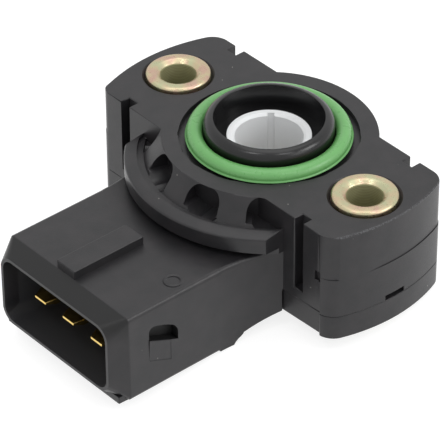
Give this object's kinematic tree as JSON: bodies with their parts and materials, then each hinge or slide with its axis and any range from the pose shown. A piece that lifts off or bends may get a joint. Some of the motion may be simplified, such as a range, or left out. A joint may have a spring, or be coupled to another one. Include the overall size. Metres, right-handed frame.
{
  "type": "throttle position sensor",
  "caption": "Flange-mounted rotary position sensor with a shaft-driven rotor, a sealing ring, metal fixing bushes and a blade connector socket.",
  "frame": {"origin": "on the rotor's axis, in the plane of the mounting face and midway between the fixing holes", "axes": "+Z out of the mounting face along the rotor's axis, +X along the line of the fixing holes, -Y towards the connector's mouth"},
  "size_m": [0.043, 0.0449, 0.0196],
  "materials": {
    "housing_plastic": "moulded glass-filled plastic, near black, satin",
    "cover_plastic": "moulded glass-filled plastic, near black, satin",
    "sealing_compound": "cured sealing compound",
    "passivated_steel": "turned steel, yellow passivated zinc",
    "green_rubber": "moulded green rubber, satin",
    "white_plastic": "moulded white bearing plastic",
    "washer_plastic": "low-friction washer sheet",
    "spring_steel": "bright spring steel strip",
    "carrier_plastic": "moulded plastic",
    "contact_alloy": "bright contact alloy",
    "board_laminate": "glass laminate board with solder mask",
    "carbon_ink": "printed carbon track",
    "silver_ink": "printed silver track",
    "terminal_brass": "bright pressed brass",
    "solder": "soft solder"
  },
  "bodies": {
    "sensor_body": {"housing": "housing_plastic", "rear_cover": "cover_plastic", "cover_bead": "sealing_compound", "bush_left": "passivated_steel", "bush_right": "passivated_steel", "sealing_ring": "green_rubber", "thrust_washer": "washer_plastic", "return_spring": "spring_steel", "track_board": "board_laminate", "resistive_track": "carbon_ink", "collector_track": "silver_ink", "terminal_left": "terminal_brass", "terminal_middle": "terminal_brass", "terminal_right": "terminal_brass", "solder_studs": "solder"},
    "rotor_body": {"rotor": "white_plastic", "spring_washer": "spring_steel", "contact_carrier": "carrier_plastic", "contact_outer": "contact_alloy", "contact_inner": "contact_alloy"}
  },
  "joints": [
    {"name": "rotor_turn", "type": "hinge", "parent": "sensor_body", "child": "rotor_body", "pos_m": [0, 0, 0], "axis": [0, 0, 1], "range_deg": [0, 95], "stiffness_Nm_per_rad": 0.006, "deforming": ["return_spring"]}
  ]
}
